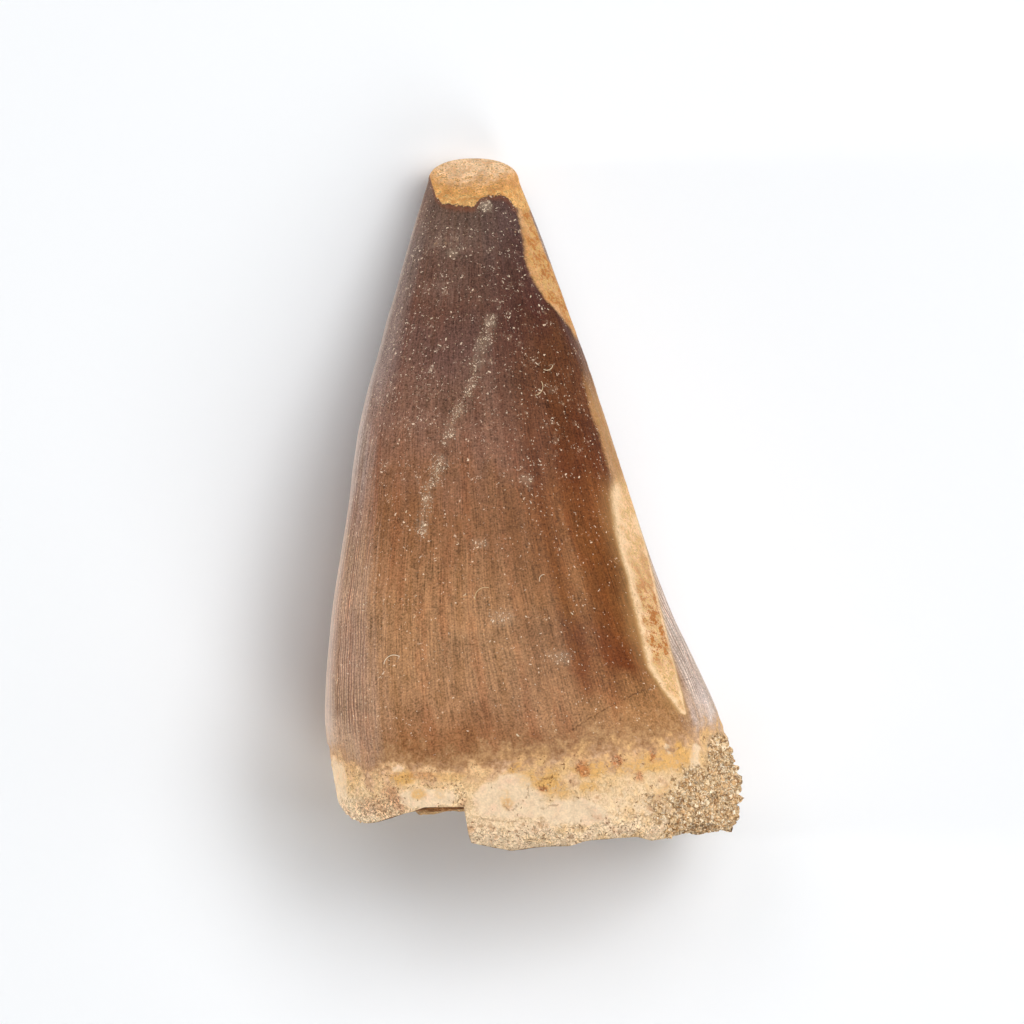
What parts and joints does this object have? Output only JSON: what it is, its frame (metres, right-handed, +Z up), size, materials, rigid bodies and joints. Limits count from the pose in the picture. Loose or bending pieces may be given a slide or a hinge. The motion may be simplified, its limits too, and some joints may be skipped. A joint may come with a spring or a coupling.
{
  "type": "fossil mosasaur tooth",
  "caption": "Fossil marine reptile tooth crown, conical and gently flattened, with a worn tip, a worn cutting edge and a short broken collar of root.",
  "frame": {"origin": "on the resting surface, under the middle of the tooth as it lies on its side", "axes": "+Y runs from the broken root to the tip, +Z up out of the resting surface, +X towards the worn cutting edge"},
  "size_m": [0.0252, 0.042, 0.0175],
  "materials": {
    "fossil": "polished brown enamel on the crown, matt cream dentine and gritty root at the base"
  },
  "bodies": {
    "root": {"tooth": "fossil"}
  },
  "joints": []
}
